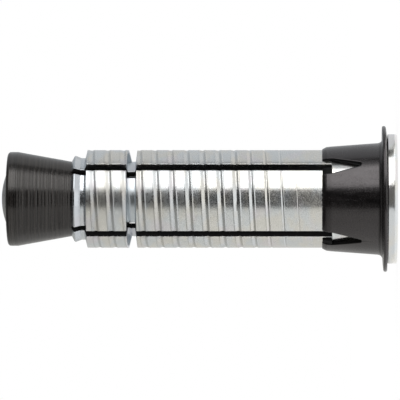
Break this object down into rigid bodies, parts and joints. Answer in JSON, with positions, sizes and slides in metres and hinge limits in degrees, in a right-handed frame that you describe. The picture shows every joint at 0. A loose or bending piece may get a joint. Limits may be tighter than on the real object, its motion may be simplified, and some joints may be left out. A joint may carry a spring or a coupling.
{
  "type": "expansion anchor",
  "caption": "Steel expansion anchor with a black cone nut, loose ribbed segments on a flanged counter cone and a notched black plastic collar.",
  "frame": {"origin": "centre of the head's outer face, on which the anchor stands", "axes": "+Z along the anchor's axis, from the head towards the cone nut; the front segment faces -Y"},
  "size_m": [0.0238, 0.0238, 0.0648],
  "materials": {
    "zinc_plated_steel": "bright zinc plating, faintly mottled",
    "blackened_steel": "black phosphate over fine turning marks",
    "bright_steel": "smooth and bright",
    "black_plastic": "satin moulded plastic"
  },
  "bodies": {
    "root": {"counter_cone": "zinc_plated_steel", "plastic_collar": "black_plastic", "expansion_segment_1": "zinc_plated_steel", "expansion_segment_2": "zinc_plated_steel", "expansion_segment_3": "zinc_plated_steel", "expansion_segment_4": "zinc_plated_steel", "cone_nut": "blackened_steel", "end_plug": "bright_steel"}
  },
  "joints": []
}
